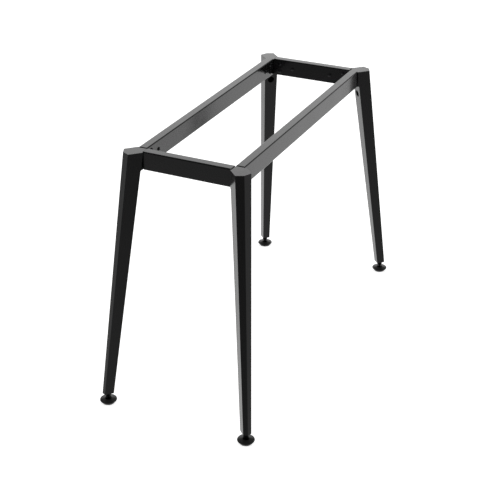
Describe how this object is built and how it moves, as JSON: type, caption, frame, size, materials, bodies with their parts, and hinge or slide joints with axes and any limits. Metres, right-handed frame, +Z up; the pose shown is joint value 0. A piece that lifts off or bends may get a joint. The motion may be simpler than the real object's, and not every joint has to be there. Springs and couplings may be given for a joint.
{
  "type": "desk frame",
  "caption": "Desk frame of rectangular tube rails screwed onto tapered, splayed cast legs with access holes, standing on screw-in levelling feet.",
  "frame": {"origin": "on the floor under the middle of the frame", "axes": "+X along the long rails, +Y along the short rails to the back, +Z up"},
  "size_m": [1.075, 0.469, 0.725],
  "materials": {
    "rail_paint": "smooth black gloss powder coat on steel tube",
    "leg_paint": "smooth black gloss powder coat on cast aluminium",
    "screw_steel": "black oxide steel, satin",
    "stem_steel": "black zinc-plated steel, satin",
    "foot_nylon": "moulded black nylon, soft sheen"
  },
  "bodies": {
    "frame": {"front_rail": "rail_paint", "back_rail": "rail_paint", "left_rail": "rail_paint", "right_rail": "rail_paint", "front_rail_screws_left": "screw_steel", "front_rail_screws_right": "screw_steel", "back_rail_screws_left": "screw_steel", "back_rail_screws_right": "screw_steel", "left_rail_screws_front": "screw_steel", "left_rail_screws_back": "screw_steel", "right_rail_screws_front": "screw_steel", "right_rail_screws_back": "screw_steel", "leg_front_left": "leg_paint", "leg_front_right": "leg_paint", "leg_back_left": "leg_paint", "leg_back_right": "leg_paint"},
    "foot_front_left": {"foot_stem_front_left": "stem_steel", "foot_base_front_left": "foot_nylon"},
    "foot_front_right": {"foot_stem_front_right": "stem_steel", "foot_base_front_right": "foot_nylon"},
    "foot_back_left": {"foot_stem_back_left": "stem_steel", "foot_base_back_left": "foot_nylon"},
    "foot_back_right": {"foot_stem_back_right": "stem_steel", "foot_base_back_right": "foot_nylon"}
  },
  "joints": [
    {"name": "foot_front_left_level", "type": "slide", "parent": "frame", "child": "foot_front_left", "axis": [0, 0, -1], "range_m": [-0.003, 0.012]},
    {"name": "foot_front_right_level", "type": "slide", "parent": "frame", "child": "foot_front_right", "axis": [0, 0, -1], "range_m": [-0.003, 0.012]},
    {"name": "foot_back_left_level", "type": "slide", "parent": "frame", "child": "foot_back_left", "axis": [0, 0, -1], "range_m": [-0.003, 0.012]},
    {"name": "foot_back_right_level", "type": "slide", "parent": "frame", "child": "foot_back_right", "axis": [0, 0, -1], "range_m": [-0.003, 0.012]}
  ]
}
